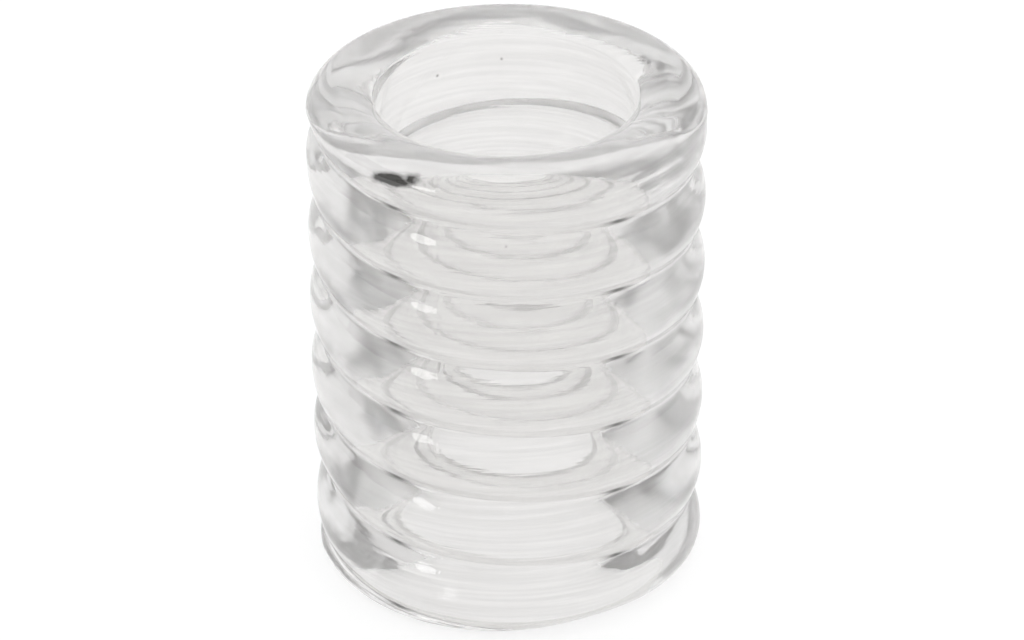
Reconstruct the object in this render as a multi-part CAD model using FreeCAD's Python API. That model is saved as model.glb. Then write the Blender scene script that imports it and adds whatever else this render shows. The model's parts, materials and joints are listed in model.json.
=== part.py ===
import FreeCAD, Part

import math
import os

from FreeCAD import Vector

# A bottleneck guitar slide of clear glass, in millimetres.
#
# The slide is one thick-walled glass sleeve, open at both ends. A single groove spirals down its outside
# and leaves rounded ribs between its turns. The origin is the middle of the lower rim, +Z runs up the
# bore, and -Y is the front. Angles round the sleeve start at the back, +Y, and grow towards -X, which is
# the way that the left-handed groove turns as it goes down.

# Sleeve
OUTER_RADIUS = 14.5
BORE_RADIUS = 9.5
LENGTH = 38.5

# Upper rim: rounded outside, then a narrow level ring, and then a wide curve down to the edge of the mouth
TOP_OUTER_ROUNDING = 2.0
LEVEL_RING_WIDTH = 0.4
CROWN_RADIUS = 4.3
MOUTH_ROUNDING = 0.3

# Lower rim
BOTTOM_OUTER_ROUNDING = 2.2
BOTTOM_INNER_ROUNDING = 1.5

# Ribs and groove
PITCH = 5.55
RIB_RADIUS = 4.85
CREST_LAND = 1.0
VALLEY_RADIUS = 0.4

# The groove's height where it passes the back for the first time, and the angles, in radians, between
# which it deepens from nothing to its full depth
GROOVE_START_HEIGHT = 36.7
RUN_OUT_START = -0.3
RUN_OUT_END = 2.0

# What follows from the sizes above. In a section along the bore, a rib is an arc about RIB_CENTRE, level
# with its crest, and a small arc about VALLEY_CENTRE joins the two ribs that meet in the groove. An arc
# of a rib ends at FOOT_DROP below the crest.
HALF_PITCH = PITCH / 2
RIB_CENTRE = OUTER_RADIUS - math.sqrt(RIB_RADIUS ** 2 - (CREST_LAND / 2) ** 2)
VALLEY_CENTRE = RIB_CENTRE + math.sqrt((RIB_RADIUS + VALLEY_RADIUS) ** 2 - HALF_PITCH ** 2)
GROOVE_DEPTH = OUTER_RADIUS - (VALLEY_CENTRE - VALLEY_RADIUS)
FOOT_DROP = HALF_PITCH * RIB_RADIUS / (RIB_RADIUS + VALLEY_RADIUS)

# The crown's centre lies at this radius, and its arc ends, in degrees from the outward direction, where the
# rounding of the mouth's edge takes over. That rounding is centred at MOUTH_HEIGHT, where the bore begins.
CROWN_CENTRE = OUTER_RADIUS - TOP_OUTER_ROUNDING - LEVEL_RING_WIDTH
CROWN_END = 180 - math.degrees(math.acos(
    (CROWN_CENTRE - BORE_RADIUS - MOUTH_ROUNDING) / (CROWN_RADIUS - MOUTH_ROUNDING)
))
MOUTH_HEIGHT = LENGTH - CROWN_RADIUS + (CROWN_RADIUS - MOUTH_ROUNDING) * math.sin(math.radians(CROWN_END))

# The solid that cuts the groove stands out of the glass by these amounts
TOOL_EDGE_DROP = CREST_LAND / 4
TOOL_REACH = 1.2
TOOL_SIDE_INSET = 0.7
TOOL_LIFT = 0.35
TOOL_LEAD_IN = 0.3
TOOL_END_HEIGHT = -3.2
SECTIONS_PER_TURN = 24

# A groove that is missing or broken leaves the sleeve with more glass than this share of the plain tube
LARGEST_GROOVED_SHARE = 0.95


def rim_arc(centre_radius, centre_height, rounding, start_angle, end_angle):
    """An arc in the XZ plane that turns anticlockwise between two angles in degrees."""

    def point(angle):
        turn = math.radians(angle)
        return Vector(
            centre_radius + rounding * math.cos(turn),
            0,
            centre_height + rounding * math.sin(turn),
        )

    return Part.Arc(point(start_angle), point((start_angle + end_angle) / 2), point(end_angle)).toShape()


def plain_tube():
    """The tube with its bore and its two rims, with no groove."""
    outer_top = rim_arc(
        OUTER_RADIUS - TOP_OUTER_ROUNDING, LENGTH - TOP_OUTER_ROUNDING, TOP_OUTER_ROUNDING, 0, 90
    )
    crown = rim_arc(CROWN_CENTRE, LENGTH - CROWN_RADIUS, CROWN_RADIUS, 90, CROWN_END)
    mouth = rim_arc(BORE_RADIUS + MOUTH_ROUNDING, MOUTH_HEIGHT, MOUTH_ROUNDING, CROWN_END, 180)
    inner_bottom = rim_arc(
        BORE_RADIUS + BOTTOM_INNER_ROUNDING, BOTTOM_INNER_ROUNDING, BOTTOM_INNER_ROUNDING, 180, 270
    )
    outer_bottom = rim_arc(
        OUTER_RADIUS - BOTTOM_OUTER_ROUNDING, BOTTOM_OUTER_ROUNDING, BOTTOM_OUTER_ROUNDING, 270, 360
    )
    wall = Part.Face(Part.Wire([
        outer_top,
        Part.makeLine(outer_top.lastVertex().Point, crown.firstVertex().Point),
        crown,
        mouth,
        Part.makeLine(mouth.lastVertex().Point, inner_bottom.firstVertex().Point),
        inner_bottom,
        Part.makeLine(inner_bottom.lastVertex().Point, outer_bottom.firstVertex().Point),
        outer_bottom,
        Part.makeLine(outer_bottom.lastVertex().Point, outer_top.firstVertex().Point),
    ]))
    return wall.revolve(Vector(0, 0, 0), Vector(0, 0, 1), 360)


def run_out(turned):
    """How far the groove's outline is lifted out of the glass after turning by this angle in radians."""
    along = (turned - RUN_OUT_START) / (RUN_OUT_END - RUN_OUT_START)
    along = min(max(along, 0.0), 1.0)
    return (GROOVE_DEPTH + TOOL_LIFT) * (1 - along * along * (3 - 2 * along))


def groove_section(turned):
    """The outline of the solid that cuts the groove, in the upright half plane at this angle."""
    middle = GROOVE_START_HEIGHT - PITCH * turned / (2 * math.pi)
    lift = run_out(turned)

    def place(radius, rise):
        return Vector(
            -(radius + lift) * math.sin(turned),
            (radius + lift) * math.cos(turned),
            middle + rise,
        )

    def flank(side, drops):
        """The arc of the rib above the groove (side 1) or below it (-1), at three drops from its crest."""
        points = []
        for drop in drops:
            radius = RIB_CENTRE + math.sqrt(RIB_RADIUS ** 2 - drop ** 2)
            points.append(place(radius, side * (HALF_PITCH - drop)))
        return Part.Arc(*points).toShape()

    drops = [TOOL_EDGE_DROP, (TOOL_EDGE_DROP + FOOT_DROP) / 2, FOOT_DROP]
    upper = flank(1, drops)
    lower = flank(-1, drops[::-1])
    floor = place(VALLEY_CENTRE - VALLEY_RADIUS, 0)
    valley = Part.Arc(upper.lastVertex().Point, floor, lower.firstVertex().Point).toShape()
    upper_corner = place(OUTER_RADIUS + TOOL_REACH, HALF_PITCH - TOOL_SIDE_INSET)
    lower_corner = place(OUTER_RADIUS + TOOL_REACH, TOOL_SIDE_INSET - HALF_PITCH)
    return Part.Wire([
        Part.makeLine(upper_corner, upper.firstVertex().Point),
        upper,
        valley,
        lower,
        Part.makeLine(lower.lastVertex().Point, lower_corner),
        Part.makeLine(lower_corner, upper_corner),
    ])


def groove_tool():
    """The solid that cuts the groove: its outline carried down round the sleeve, off the lower rim."""
    first = RUN_OUT_START - TOOL_LEAD_IN
    last = 2 * math.pi * (GROOVE_START_HEIGHT - TOOL_END_HEIGHT) / PITCH
    steps = int((last - first) / (2 * math.pi) * SECTIONS_PER_TURN)
    sections = [groove_section(first + (last - first) * step / steps) for step in range(steps + 1)]
    return Part.makeLoft(sections, True, False)


def glass_sleeve():
    """The whole slide: a grooved bar, kept only where the plain tube with its rounded rims is."""
    tube = plain_tube()
    grooved_bar = Part.makeCylinder(OUTER_RADIUS, LENGTH).cut(groove_tool())
    sleeve = tube.common(grooved_bar).Solids[0]
    if not sleeve.isValid() or sleeve.Volume > LARGEST_GROOVED_SHARE * tube.Volume:
        raise RuntimeError("the groove was not cut")
    return sleeve


os.makedirs("parts", exist_ok=True)
glass_sleeve().exportStep("parts/glass_sleeve.step")
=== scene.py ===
"""A clear glass guitar slide with a spiral of rounded ribs, standing on a plain white floor."""

import json
import math

import bpy
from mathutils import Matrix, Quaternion, Vector, noise


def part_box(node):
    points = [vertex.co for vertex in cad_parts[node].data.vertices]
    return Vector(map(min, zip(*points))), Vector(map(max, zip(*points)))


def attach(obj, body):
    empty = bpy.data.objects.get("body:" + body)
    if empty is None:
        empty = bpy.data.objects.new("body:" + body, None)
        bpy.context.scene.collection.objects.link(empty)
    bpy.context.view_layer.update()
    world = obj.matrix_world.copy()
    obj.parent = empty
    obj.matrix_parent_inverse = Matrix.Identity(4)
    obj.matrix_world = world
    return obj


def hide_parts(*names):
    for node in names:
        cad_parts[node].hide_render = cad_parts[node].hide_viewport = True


# Everything is in metres. Angles round the sleeve start at the back, +Y, and grow towards -X, the way that
# the left-handed groove turns as it goes down. The front is -Y.

MM = 0.001
TURN = 2 * math.pi

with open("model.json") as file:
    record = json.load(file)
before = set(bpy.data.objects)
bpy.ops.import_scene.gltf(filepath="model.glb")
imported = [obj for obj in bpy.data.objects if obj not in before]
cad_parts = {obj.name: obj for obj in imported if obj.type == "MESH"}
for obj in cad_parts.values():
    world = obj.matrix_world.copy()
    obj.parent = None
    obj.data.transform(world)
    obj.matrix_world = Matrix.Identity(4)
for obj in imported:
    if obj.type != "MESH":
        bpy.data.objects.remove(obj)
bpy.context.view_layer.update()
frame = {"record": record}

# Sizes from the frame
LOW, HIGH = (Vector(corner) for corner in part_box("glass_sleeve"))
OUTER_RADIUS = (HIGH.x - LOW.x) / 2
LENGTH = HIGH.z - LOW.z
BORE_MOUNT = next(m for m in frame["record"]["mounts"] if m["kind"] == "bore")
BORE_RADIUS = BORE_MOUNT["dims"]["r_mm"] * MM

# Rims. The upper one has a narrow level ring and then a wide curve, the crown, down to the mouth's edge.
TOP_OUTER_ROUNDING = 2.0 * MM
LEVEL_RING_WIDTH = 0.4 * MM
CROWN_RADIUS = 4.3 * MM
MOUTH_ROUNDING = 0.3 * MM
BOTTOM_OUTER_ROUNDING = 2.2 * MM
BOTTOM_INNER_ROUNDING = 1.5 * MM

# Ribs and groove. The arcs of two ribs would meet at RIB_DEPTH below the crests, and an arc of
# VALLEY_RADIUS joins them a little higher up. The groove deepens between two angles, in radians.
PITCH = 5.55 * MM
RIB_DEPTH = 0.85 * MM
VALLEY_RADIUS = 0.4 * MM
GROOVE_START_HEIGHT = 36.7 * MM
RUN_OUT_START = -0.3
RUN_OUT_END = 2.0

# Where the pressed glass strays from its true shape: the lower rim is more rounded at the front right, and
# the ribs are a little flat low on the left
SOFT_RIM_ANGLE = math.radians(208)
SOFT_RIM_SPREAD = math.radians(26)
SOFT_RIM_EXTRA = 0.9 * MM
FLAT_RIB_ANGLE = math.radians(95)
FLAT_RIB_SPREAD = math.radians(35)
FLAT_RIB_HEIGHT = 6.5 * MM
FLAT_RIB_REACH = 3.0 * MM
FLAT_RIB_DEPTH = 0.28 * MM

# Mould seams, at two angles on opposite sides
SEAM_ANGLES = (math.radians(160), math.radians(340))
SEAM_HEIGHT = 0.008 * MM
SEAM_WIDTH = 0.16 * MM

# Unevenness of the pressed glass: how deep it is and how wide its waves are
OUTSIDE_WAVES = 0.04 * MM
OUTSIDE_SCALE = 7 * MM
BORE_WAVES = 0.09 * MM
BORE_SCALE = 6 * MM
OUTSIDE_SEED, BORE_SEED, UNEVEN_SEED = 3.0, 11.0, 5.0

# More unevenness beside the front, on the left and on the right: where it is and how much
UNEVEN_SIDES = ((math.radians(118), 0.16 * MM), (math.radians(240), 0.09 * MM))
UNEVEN_SPREAD = math.radians(20)
UNEVEN_SCALE = 3.2 * MM

# The glass is a little hazy: this share of the light is scattered at each surface
HAZE = 0.15

# Painted shade of a chip on the upper rim's outer rounding: where the dark patch is, and its half sizes
# round, in and up the glass
CHIP_SHADE_ANGLE = math.radians(147.5)
CHIP_SHADE_RADIUS = 14.35 * MM
CHIP_SHADE_HEIGHT = 37.15 * MM
CHIP_SHADE_TILT = math.radians(-9)
CHIP_SHADE_SIZE = (2.6 * MM, 1.0 * MM, 0.6 * MM)

# Painted shade: dark ticks at the bottom of the groove, on both sides of the front
GROOVE_SHADE_ANGLES = (math.radians(144), math.radians(215))
GROOVE_SHADE_SPREAD = math.radians(5)
GROOVE_SHADE_BY_ROW = (1.0, 1.0, 0.5)

# Colours of the glass, where it takes the most light and where it takes the least, of its marks, and of the
# painted shade at the chip and in the groove
GLASS_DIM = (0.91, 0.9, 0.893, 1)
GLASS_CLEAR = (0.968, 0.961, 0.953, 1)
LINE_COLOUR = (0.72, 0.714, 0.705, 1)
SPECK_COLOUR = (0.25, 0.24, 0.23, 1)
CHIP_SHADE_COLOUR = (0.015, 0.015, 0.014, 1)
GROOVE_SHADE_COLOUR = (0.03, 0.03, 0.028, 1)
GLASS_IOR = 1.52

# The fine lines: how strongly they colour the glass, what share of that is left in the bore, and how high
# they stand
LINE_STRENGTH = 0.55
LINE_SHARE_IN_BORE = 0.15
LINE_HEIGHT = 0.0035 * MM

# Floor and room. A dark flag stands low at the front left: it fills the directions whose x, y and z, as
# parts of 1, are all below these values.
FLOOR_HALF_SIZE = 3.0
FLOOR_GLOW = 0.745
ROOM_IN_FRONT = 1.55
ROOM_BEHIND = 1.5
FLAG_X = -0.62
FLAG_Y = 0.15
FLAG_Z = 0.52
FLAG_SHARE = 0.1

# Camera
CAMERA_DISTANCE = 0.368
CAMERA_TILT = math.radians(29.81)
CAMERA_ROLL = math.radians(-0.22)
CAMERA_LENS = 175.85

# Mesh density
COLUMNS = 216
SEAM_COLUMN_STEPS = (-1.1, -0.7, -0.35, 0.35, 0.7, 1.1)
ROWS_PER_PITCH = 30
VALLEY_ROWS = (0.0, 0.014, 0.028, 0.044)
ARC_STEPS = 6
CROWN_ROWS = 8
MOUTH_ROWS = 5
BORE_ROWS = 60
ROW_GAP = 0.04 * MM


# ---------------------------------------------------------------- shape

HALF_PITCH = PITCH / 2
RIB_RADIUS = (RIB_DEPTH ** 2 + HALF_PITCH ** 2) / (2 * RIB_DEPTH)
RIB_CENTRE = OUTER_RADIUS - RIB_RADIUS
VALLEY_CENTRE = RIB_CENTRE + math.sqrt((RIB_RADIUS + VALLEY_RADIUS) ** 2 - HALF_PITCH ** 2)
VALLEY_HALF_WIDTH = HALF_PITCH * VALLEY_RADIUS / (RIB_RADIUS + VALLEY_RADIUS)

CROWN_CENTRE = OUTER_RADIUS - TOP_OUTER_ROUNDING - LEVEL_RING_WIDTH
CROWN_SPREAD = math.asin((CROWN_CENTRE - BORE_RADIUS - MOUTH_ROUNDING) / (CROWN_RADIUS - MOUTH_ROUNDING))
MOUTH_HEIGHT = LENGTH - CROWN_RADIUS + (CROWN_RADIUS - MOUTH_ROUNDING) * math.cos(CROWN_SPREAD)


def smooth_step(start, end, value):
    along = min(max((value - start) / (end - start), 0.0), 1.0)
    return along * along * (3 - 2 * along)


def groove_outline(offset):
    """Radius of the glass at this height above or below the middle of the groove."""
    offset = abs(offset)
    if offset >= HALF_PITCH:
        return OUTER_RADIUS
    if offset >= VALLEY_HALF_WIDTH:
        return RIB_CENTRE + math.sqrt(RIB_RADIUS ** 2 - (HALF_PITCH - offset) ** 2)
    return VALLEY_CENTRE - math.sqrt(VALLEY_RADIUS ** 2 - offset ** 2)


def grooved_radius(angle, height):
    """Radius of the ribbed outside, before the rims are rounded."""
    radius = OUTER_RADIUS
    turns_down = (GROOVE_START_HEIGHT - height) / PITCH - angle / TURN
    for turn in (math.floor(turns_down), math.floor(turns_down) + 1):
        turned = angle + TURN * turn
        middle = GROOVE_START_HEIGHT - PITCH * turned / TURN
        lift = RIB_DEPTH * (1 - smooth_step(RUN_OUT_START, RUN_OUT_END, turned))
        radius = min(radius, groove_outline(height - middle) + lift)
    return radius


def wave(radius, angle, height, scale, seed):
    """Smooth unevenness between 0 and 1, about scale across."""
    place = Vector((-radius * math.sin(angle), radius * math.cos(angle), height)) / scale
    return 0.5 + 0.5 * noise.noise(place + Vector((seed, 0, 0)))


def seam(angle):
    """Height of the mould seams at this angle."""
    nearest = min(abs((angle - middle + math.pi) % TURN - math.pi) for middle in SEAM_ANGLES)
    return SEAM_HEIGHT * math.exp(-(nearest * OUTER_RADIUS / SEAM_WIDTH) ** 2)


def bottom_rounding(angle):
    """Rounding of the lower rim's outer edge at this angle."""
    across = (angle - SOFT_RIM_ANGLE) / SOFT_RIM_SPREAD
    return BOTTOM_OUTER_ROUNDING + SOFT_RIM_EXTRA * math.exp(-across ** 2)


def flat_rib(angle, height):
    """How far the outside is pressed in where the ribs are a little flat."""
    across = (angle - FLAT_RIB_ANGLE) / FLAT_RIB_SPREAD
    up = (height - FLAT_RIB_HEIGHT) / FLAT_RIB_REACH
    return FLAT_RIB_DEPTH * math.exp(-across ** 2 - up ** 2)


def outer_radius(angle, height, rounded):
    """Radius of the finished outside. rounded is the radius that the rim's rounding allows here."""
    radius = min(grooved_radius(angle, height), rounded)
    waves = OUTSIDE_WAVES * wave(OUTER_RADIUS, angle, height, OUTSIDE_SCALE, OUTSIDE_SEED)
    for middle, amount in UNEVEN_SIDES:
        near = math.exp(-((angle - middle) / UNEVEN_SPREAD) ** 2)
        waves += amount * near * wave(OUTER_RADIUS, angle, height, UNEVEN_SCALE, UNEVEN_SEED)
    return radius - waves - flat_rib(angle, height) + seam(angle)


def rounding_limit(angle, height):
    """Radius that the roundings of the two rims allow here."""
    over = height - (LENGTH - TOP_OUTER_ROUNDING)
    if over > 0:
        return OUTER_RADIUS - TOP_OUTER_ROUNDING + math.sqrt(max(TOP_OUTER_ROUNDING ** 2 - over ** 2, 0))
    rounding = bottom_rounding(angle)
    under = rounding - height
    if under > 0:
        return OUTER_RADIUS - rounding + math.sqrt(max(rounding ** 2 - under ** 2, 0))
    return OUTER_RADIUS


def pitch_fractions():
    """Where the rows of one pitch lie, from groove to groove, close together in the groove."""
    first, last = VALLEY_ROWS[-1], 1 - VALLEY_ROWS[-1]
    between = ROWS_PER_PITCH - 2 * len(VALLEY_ROWS) + 2
    middle = [first + (last - first) * step / between for step in range(1, between)]
    return [*VALLEY_ROWS, *middle, *[1 - f for f in VALLEY_ROWS[:0:-1]]]


STEEP = math.radians(60)
TOP_EDGE = LENGTH - TOP_OUTER_ROUNDING * (1 - math.sin(STEEP))
FRACTIONS = pitch_fractions()


def arc(centre_radius, centre_height, rounding, start, end, steps=ARC_STEPS):
    """Points of an arc in the upright half plane, as (radius, height), its first point left out."""
    points = []
    for step in range(1, steps + 1):
        angle = start + (end - start) * step / steps
        points.append((
            centre_radius + rounding * math.cos(angle),
            centre_height + rounding * math.sin(angle),
        ))
    return points


def ring_points(angle):
    """The rings from the outside's lower edge, over the lower rim, up the bore and over the upper rim."""
    quarter = math.pi / 2
    rounding = bottom_rounding(angle)
    points = arc(OUTER_RADIUS - rounding, rounding, rounding, -STEEP, -quarter)
    points += [(BORE_RADIUS + BOTTOM_INNER_ROUNDING, 0.0)]
    inner = BOTTOM_INNER_ROUNDING
    points += arc(BORE_RADIUS + inner, inner, inner, -quarter, -2 * quarter)
    points += [
        (BORE_RADIUS, BOTTOM_INNER_ROUNDING + (MOUTH_HEIGHT - BOTTOM_INNER_ROUNDING) * row / BORE_ROWS)
        for row in range(1, BORE_ROWS + 1)
    ]
    crown_end = quarter + CROWN_SPREAD
    points += arc(
        BORE_RADIUS + MOUTH_ROUNDING, MOUTH_HEIGHT, MOUTH_ROUNDING, 2 * quarter, crown_end, MOUTH_ROWS
    )
    points += arc(CROWN_CENTRE, LENGTH - CROWN_RADIUS, CROWN_RADIUS, crown_end, quarter, CROWN_ROWS)
    outer = (OUTER_RADIUS - TOP_OUTER_ROUNDING, LENGTH - TOP_OUTER_ROUNDING)
    points += [(outer[0], LENGTH)]
    points += arc(*outer, TOP_OUTER_ROUNDING, quarter, STEEP)
    return points


def column(angle):
    """One upright section of the glass, as a list of (key, radius, height) round the whole outline."""
    rows = []
    bottom_edge = bottom_rounding(angle) * (1 - math.sin(STEEP))
    first = math.floor((GROOVE_START_HEIGHT - TOP_EDGE) / PITCH - 1) * ROWS_PER_PITCH
    last = math.ceil(GROOVE_START_HEIGHT / PITCH + 1) * ROWS_PER_PITCH
    for row in range(first, last):
        turn, line = divmod(row, ROWS_PER_PITCH)
        height = GROOVE_START_HEIGHT - PITCH * (angle / TURN + turn + FRACTIONS[line])
        if bottom_edge + ROW_GAP < height < TOP_EDGE - ROW_GAP:
            rows.append((("row", row), outer_radius(angle, height, rounding_limit(angle, height)), height))
    edge_radius = outer_radius(angle, bottom_edge, rounding_limit(angle, bottom_edge))
    rows.append((("edge", 0), edge_radius, bottom_edge))
    for index, (radius, height) in enumerate(ring_points(angle)):
        if radius > OUTER_RADIUS - bottom_rounding(angle) and height < BOTTOM_OUTER_ROUNDING:
            radius = outer_radius(angle, height, radius)
        elif radius > OUTER_RADIUS - TOP_OUTER_ROUNDING and height > LENGTH / 2:
            radius = outer_radius(angle, height, radius)
        elif radius < CROWN_CENTRE:
            radius += BORE_WAVES * wave(BORE_RADIUS, angle, height, BORE_SCALE, BORE_SEED)
        rows.append((("ring", index), radius, height))
    return rows


def column_angles():
    """Even steps round the sleeve, with more columns close to the mould seams."""
    angles = [TURN * step / COLUMNS for step in range(COLUMNS)]
    for middle in SEAM_ANGLES:
        for degrees in SEAM_COLUMN_STEPS:
            angles.append(middle + math.radians(degrees))
    return sorted(angles)


def weave(left, right, faces):
    """Fills the strip between two columns. A row that only one of them has ends in a triangle."""
    known = [{key for key, _ in left}, {key for key, _ in right}]
    a = b = 0
    while a < len(left) - 1 or b < len(right) - 1:
        next_a = left[min(a + 1, len(left) - 1)]
        next_b = right[min(b + 1, len(right) - 1)]
        if next_a[0] == next_b[0]:
            faces.append((left[a][1], next_a[1], next_b[1], right[b][1]))
            a, b = a + 1, b + 1
        elif next_b[0] not in known[0]:
            faces.append((left[a][1], next_b[1], right[b][1]))
            b += 1
        else:
            faces.append((left[a][1], next_a[1], right[b][1]))
            a += 1


def groove_shade_amount(key, angle):
    """How much painted shade the glass takes here: only the bottom of the groove does, and only near some
    angles.
    """
    kind, row = key
    from_valley = min(row % ROWS_PER_PITCH, -row % ROWS_PER_PITCH)
    if kind != "row" or from_valley >= len(GROOVE_SHADE_BY_ROW):
        return 0.0
    near = min(abs(angle - middle) for middle in GROOVE_SHADE_ANGLES)
    return GROOVE_SHADE_BY_ROW[from_valley] * math.exp(-(near / GROOVE_SHADE_SPREAD) ** 2)


def sleeve_mesh():
    vertices, faces, columns, groove_shade = [], [], [], []
    for angle in column_angles():
        entries = []
        for key, radius, height in column(angle):
            entries.append((key, len(vertices)))
            vertices.append((-radius * math.sin(angle), radius * math.cos(angle), height))
            groove_shade.append(groove_shade_amount(key, angle))
        columns.append([entries[-1], *entries])
    for left, right in zip(columns, columns[1:]):
        weave(left, right, faces)
    wrapped = []
    for (kind, index), vertex in columns[0]:
        wrapped.append(((kind, index - ROWS_PER_PITCH if kind == "row" else index), vertex))
    weave(columns[-1], wrapped, faces)
    mesh = bpy.data.meshes.new("ribbed_glass_sleeve")
    mesh.from_pydata(vertices, [], faces)
    mesh.shade_smooth()
    # Share of painted shade at the bottom of the groove, for the material
    mesh.attributes.new("groove_shade", "FLOAT", "POINT").data.foreach_set("value", groove_shade)
    return mesh


# ---------------------------------------------------------------- material

def spread(tree, value, low, high, to_low, to_high):
    """Carries value from one range to another."""
    change = tree.nodes.new("ShaderNodeMapRange")
    for name, setting in (("From Min", low), ("From Max", high), ("To Min", to_low), ("To Max", to_high)):
        change.inputs[name].default_value = setting
    tree.links.new(value, change.inputs["Value"])
    return change.outputs[0]


def combine(tree, operation, first, second):
    """Works out one value from two. Each may be a number or what another node gives."""
    node = tree.nodes.new("ShaderNodeMath")
    node.operation = operation
    for socket, value in zip(node.inputs, (first, second)):
        if isinstance(value, float):
            socket.default_value = value
        else:
            tree.links.new(value, socket)
    return node.outputs[0]


def glass_material():
    """Clear glass with the marks of pressing and of use and with painted shade at a chip and in the groove,
    set by nodes from the object's own coordinates.
    """
    material = bpy.data.materials.new("clear_glass")
    material.use_nodes = True
    tree = material.node_tree
    nodes, links = tree.nodes, tree.links
    shader = nodes["Principled BSDF"]
    shader.inputs["Transmission Weight"].default_value = 1 - HAZE
    shader.inputs["IOR"].default_value = GLASS_IOR
    place = nodes.new("ShaderNodeTexCoord").outputs["Object"]

    def stretched_noise(stretch, detail):
        """Noise with this many grains to the metre in x, y and z."""
        mapping = nodes.new("ShaderNodeMapping")
        mapping.inputs["Scale"].default_value = stretch
        noise_texture = nodes.new("ShaderNodeTexNoise")
        noise_texture.inputs["Scale"].default_value = 1.0
        noise_texture.inputs["Detail"].default_value = detail
        links.new(place, mapping.inputs["Vector"])
        links.new(mapping.outputs[0], noise_texture.inputs["Vector"])
        return noise_texture.outputs[0]

    def vector_step(operation, first, setting):
        node = nodes.new("ShaderNodeVectorMath")
        node.operation = operation
        links.new(first, node.inputs[0])
        node.inputs[1].default_value = setting
        return node.outputs[0]

    def mixed(amount, first, second):
        """A colour between two colours. first may be a colour or what another mix gives."""
        mix = nodes.new("ShaderNodeMix")
        mix.data_type = "RGBA"
        links.new(amount, mix.inputs[0])
        if isinstance(first, tuple):
            mix.inputs[6].default_value = first
        else:
            links.new(first, mix.inputs[6])
        mix.inputs[7].default_value = second
        return mix.outputs[2]

    # Faint cloudiness, and a rim that is worn a little dull
    split = nodes.new("ShaderNodeSeparateXYZ")
    links.new(place, split.inputs[0])
    clouds = spread(tree, stretched_noise((220, 220, 160), 3.0), 0.35, 0.7, 0.006, 0.024)
    worn_rim = spread(tree, split.outputs["Z"], LENGTH - 1.4 * MM, LENGTH - 0.2 * MM, 0.0, 0.03)
    links.new(combine(tree, "ADD", clouds, worn_rim), shader.inputs["Roughness"])

    # The glass takes a little light, more in some places than in others, and fine lines run round it. They
    # are fainter in the bore.
    depth = spread(tree, stretched_noise((150, 150, 260), 4.0), 0.3, 0.7, 0.0, 1.0)
    from_axis = nodes.new("ShaderNodeVectorMath")
    from_axis.operation = "LENGTH"
    links.new(vector_step("MULTIPLY", place, (1, 1, 0)), from_axis.inputs[0])
    outside = spread(tree, from_axis.outputs["Value"], 10 * MM, 12 * MM, LINE_SHARE_IN_BORE, 1.0)
    lines = spread(tree, stretched_noise((90, 90, 3400), 3.0), 0.35, 0.62, 0.0, 1.0)
    lines = combine(tree, "MULTIPLY", outside, lines)
    colour = mixed(depth, GLASS_DIM, GLASS_CLEAR)
    colour = mixed(combine(tree, "MULTIPLY", lines, LINE_STRENGTH), colour, LINE_COLOUR)

    # Specks on the surface
    cells = nodes.new("ShaderNodeTexVoronoi")
    cells.inputs["Scale"].default_value = 260.0
    links.new(place, cells.inputs["Vector"])
    chosen = nodes.new("ShaderNodeSeparateColor")
    links.new(cells.outputs["Color"], chosen.inputs[0])
    near = spread(tree, cells.outputs["Distance"], 0.02, 0.045, 1.0, 0.0)
    specks = combine(tree, "MULTIPLY", near, combine(tree, "GREATER_THAN", chosen.outputs[0], 0.6))
    colour = mixed(specks, colour, SPECK_COLOUR)

    # Painted shade: a dark patch under the upper rim, at the front left, where a chip throws shade
    middle = (-CHIP_SHADE_RADIUS * math.sin(CHIP_SHADE_ANGLE), CHIP_SHADE_RADIUS * math.cos(CHIP_SHADE_ANGLE), CHIP_SHADE_HEIGHT)
    turn = nodes.new("ShaderNodeVectorRotate")
    turn.rotation_type = "Z_AXIS"
    turn.inputs["Angle"].default_value = -CHIP_SHADE_ANGLE
    links.new(vector_step("SUBTRACT", place, middle), turn.inputs["Vector"])
    tilt = nodes.new("ShaderNodeVectorRotate")
    tilt.rotation_type = "Y_AXIS"
    tilt.inputs["Angle"].default_value = CHIP_SHADE_TILT
    links.new(turn.outputs[0], tilt.inputs["Vector"])
    reach = vector_step("DIVIDE", tilt.outputs[0], CHIP_SHADE_SIZE)
    far = nodes.new("ShaderNodeVectorMath")
    far.operation = "LENGTH"
    links.new(reach, far.inputs[0])
    raggedness = spread(tree, stretched_noise((900, 900, 1600), 3.0), 0.3, 0.7, -0.3, 0.3)
    ragged = combine(tree, "ADD", far.outputs["Value"], raggedness)
    colour = mixed(spread(tree, ragged, 0.55, 1.05, 1.0, 0.0), colour, CHIP_SHADE_COLOUR)

    # Painted shade in the groove, where sleeve_mesh marks it
    groove_shade = nodes.new("ShaderNodeAttribute")
    groove_shade.attribute_name = "groove_shade"
    colour = mixed(groove_shade.outputs["Fac"], colour, GROOVE_SHADE_COLOUR)
    links.new(colour, shader.inputs["Base Color"])

    # The same fine lines in the surface itself
    bump = nodes.new("ShaderNodeBump")
    bump.inputs["Strength"].default_value = 1.0
    bump.inputs["Distance"].default_value = LINE_HEIGHT
    links.new(lines, bump.inputs["Height"])
    links.new(bump.outputs[0], shader.inputs["Normal"])
    return material


def floor_material():
    material = bpy.data.materials.new("floor_white")
    material.use_nodes = True
    shader = material.node_tree.nodes["Principled BSDF"]
    shader.inputs["Base Color"].default_value = (0.3, 0.3, 0.3, 1)
    shader.inputs["Roughness"].default_value = 0.9
    shader.inputs["Specular IOR Level"].default_value = 0.1
    shader.inputs["Emission Color"].default_value = (1.0, 1.0, 1.0, 1)
    shader.inputs["Emission Strength"].default_value = FLOOR_GLOW
    return material


# ---------------------------------------------------------------- scene

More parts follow.
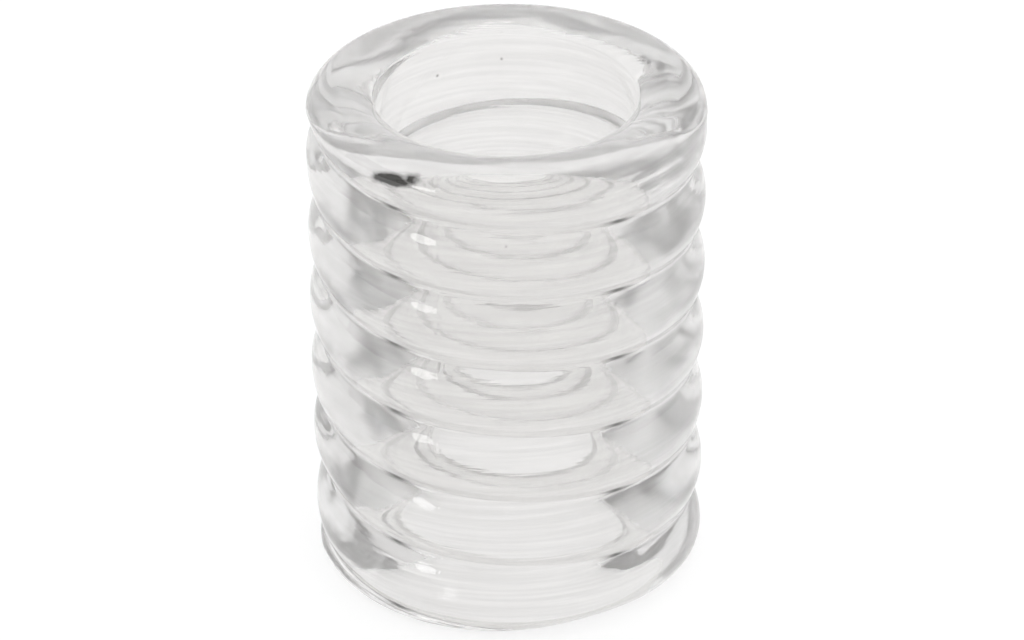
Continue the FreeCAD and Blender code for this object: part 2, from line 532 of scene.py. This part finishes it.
def add_sleeve():
    mesh = sleeve_mesh()
    mesh.materials.append(glass_material())
    sleeve = bpy.data.objects.new("ribbed_glass_sleeve", mesh)
    bpy.context.collection.objects.link(sleeve)
    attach(sleeve, "root")
    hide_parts("glass_sleeve")


def add_floor():
    mesh = bpy.data.meshes.new("floor")
    half = FLOOR_HALF_SIZE
    corners = [(-half, -half, 0), (half, -half, 0), (half, half, 0), (-half, half, 0)]
    mesh.from_pydata(corners, [], [(0, 1, 2, 3)])
    mesh.materials.append(floor_material())
    floor = bpy.data.objects.new("floor", mesh)
    bpy.context.collection.objects.link(floor)


def add_world():
    world = bpy.data.worlds.new("soft_white_room")
    bpy.context.scene.world = world
    world.use_nodes = True
    tree = world.node_tree
    nodes, links = tree.nodes, tree.links
    coordinates = nodes.new("ShaderNodeTexCoord")
    split = nodes.new("ShaderNodeSeparateXYZ")
    links.new(coordinates.outputs["Generated"], split.inputs[0])
    rise = nodes.new("ShaderNodeValToRGB")
    rise.color_ramp.elements[0].color = (0.5, 0.5, 0.5, 1)
    rise.color_ramp.elements[1].color = (0.87, 0.87, 0.87, 1)
    for position, value in ((0.3, 0.64), (0.6, 0.66), (0.82, 0.79)):
        rise.color_ramp.elements.new(position).color = (value, value, value, 1)
    links.new(split.outputs["Z"], rise.inputs[0])

    # A little brighter behind the camera, and dark where the flag stands
    front = spread(tree, split.outputs["Y"], -1.0, 1.0, ROOM_IN_FRONT, ROOM_BEHIND)
    beside_flag = spread(tree, split.outputs["X"], FLAG_X, FLAG_X + 0.05, 0.0, 1.0)
    above_flag = spread(tree, split.outputs["Z"], FLAG_Z, FLAG_Z + 0.04, 0.0, 1.0)
    behind_flag = spread(tree, split.outputs["Y"], FLAG_Y, FLAG_Y + 0.05, 0.0, 1.0)
    round_flag = combine(tree, "MAXIMUM", combine(tree, "MAXIMUM", beside_flag, above_flag), behind_flag)
    flag = spread(tree, round_flag, 0.0, 1.0, FLAG_SHARE, 1.0)
    links.new(rise.outputs[0], nodes["Background"].inputs["Color"])
    links.new(combine(tree, "MULTIPLY", front, flag), nodes["Background"].inputs["Strength"])


def add_light(name, location, size, power):
    light = bpy.data.lights.new(name, "AREA")
    light.shape = "DISK"
    light.size = size
    light.energy = power
    lamp = bpy.data.objects.new(name, light)
    lamp.location = location
    lamp.rotation_euler = (Vector((0, 0, LENGTH / 2)) - Vector(location)).to_track_quat("-Z", "Y").to_euler()
    bpy.context.collection.objects.link(lamp)


def add_camera():
    target = Vector((0, 0, LENGTH / 2))
    camera = bpy.data.cameras.new("camera")
    camera.sensor_width = 36
    camera.lens = CAMERA_LENS
    camera.shift_x = 0.0048
    camera.shift_y = -0.0033
    eye = bpy.data.objects.new("camera", camera)
    eye.location = target + CAMERA_DISTANCE * Vector((0, -math.cos(CAMERA_TILT), math.sin(CAMERA_TILT)))
    eye.rotation_mode = "QUATERNION"
    roll = Quaternion((0, 0, 1), CAMERA_ROLL)
    eye.rotation_quaternion = (target - eye.location).to_track_quat("-Z", "Y") @ roll
    bpy.context.collection.objects.link(eye)
    bpy.context.scene.camera = eye


add_sleeve()
add_floor()
add_world()
add_light("low_window", (-0.28, -0.28, 0.045), 0.09, 0.1)
add_camera()
bpy.context.scene.view_settings.view_transform = "Standard"
bpy.context.scene.cycles.glossy_bounces = 12
bpy.context.scene.cycles.transmission_bounces = 16
bpy.context.scene.cycles.max_bounces = 24
